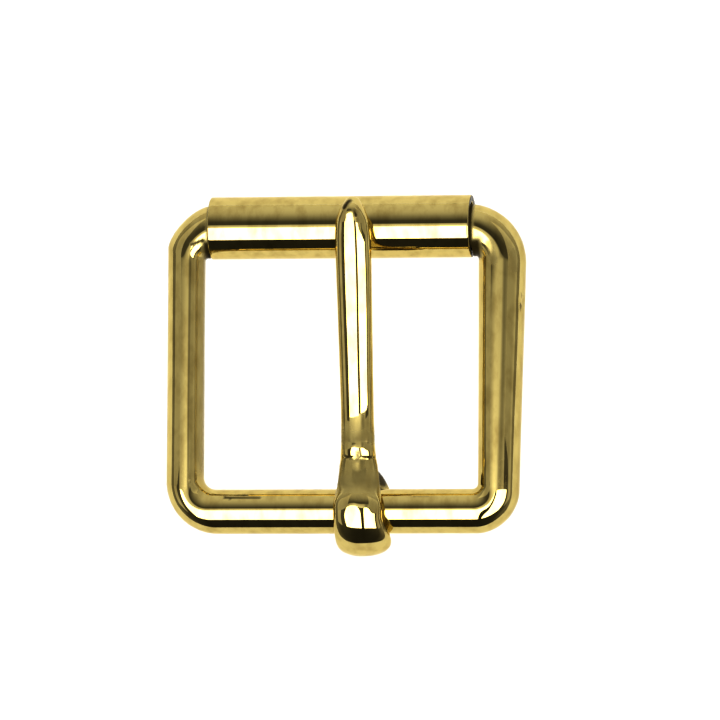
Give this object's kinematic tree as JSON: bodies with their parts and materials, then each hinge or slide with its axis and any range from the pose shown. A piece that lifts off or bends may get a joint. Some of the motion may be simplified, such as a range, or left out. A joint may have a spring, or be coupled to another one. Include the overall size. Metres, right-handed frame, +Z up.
{
  "type": "roller buckle",
  "caption": "Rectangular strap buckle: a thick round-edged ring with a turning tube over its outer bar and a looped prong that rests on the tube.",
  "frame": {"origin": "on the ground, under the middle of the buckle's outline, as the buckle lies on its back", "axes": "+X along both bars, to the right seen from the front; +Y from the strap bar towards the roller; +Z up, out of the buckle's front"},
  "size_m": [0.0342, 0.034, 0.0085],
  "materials": {
    "frame_brass": "polished, slightly dulled, with fine scratches",
    "roller_brass": "polished, drawn along its length",
    "prong_brass": "polished, tumbled smooth"
  },
  "bodies": {
    "frame": {"frame": "frame_brass"},
    "roller": {"roller": "roller_brass"},
    "prong": {"prong": "prong_brass"}
  },
  "joints": [
    {"name": "prong_swing", "type": "hinge", "parent": "frame", "child": "prong", "pos_m": [0.00162, -0.01273, 0.00425], "axis": [1, 0, 0], "range_deg": [0, 180]},
    {"name": "roller_spin", "type": "hinge", "parent": "frame", "child": "roller", "pos_m": [-0.00047, 0.01403, 0.00295], "axis": [1, 0, 0], "continuous": true}
  ]
}
